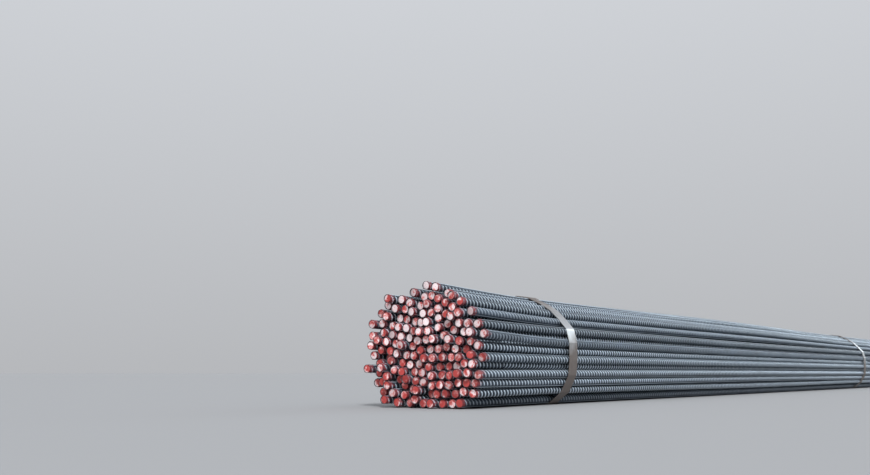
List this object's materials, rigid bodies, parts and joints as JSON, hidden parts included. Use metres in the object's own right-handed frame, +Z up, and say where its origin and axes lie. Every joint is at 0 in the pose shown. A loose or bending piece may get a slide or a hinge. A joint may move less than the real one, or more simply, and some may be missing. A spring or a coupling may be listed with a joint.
{
  "type": "rebar bundle",
  "caption": "Straight ribbed reinforcing bars with red-sprayed ends, settled into a round bundle with a flattened underside and held by flat steel straps.",
  "frame": {"origin": "under the middle of the bundle, on the level that the straps rest on", "axes": "+X along the bars, +Z up"},
  "size_m": [6.0318, 0.237, 0.213],
  "materials": {
    "bar_steel": "hot-rolled mill scale, blue-grey with a dull sheen, sheared ends sprayed red in patches",
    "strap_steel": "bright flat strap steel with brownish patches",
    "seal_steel": "dull crimped strap seal"
  },
  "bodies": {
    "root": {"bars_ring_1": "bar_steel", "bars_ring_2": "bar_steel", "bars_ring_3": "bar_steel", "bars_ring_4": "bar_steel", "bars_ring_5": "bar_steel", "bars_ring_6": "bar_steel", "bars_ring_7": "bar_steel", "strap_1": "strap_steel", "strap_2": "strap_steel", "strap_3": "strap_steel", "seal_1": "seal_steel", "seal_2": "seal_steel", "seal_3": "seal_steel"}
  },
  "joints": []
}
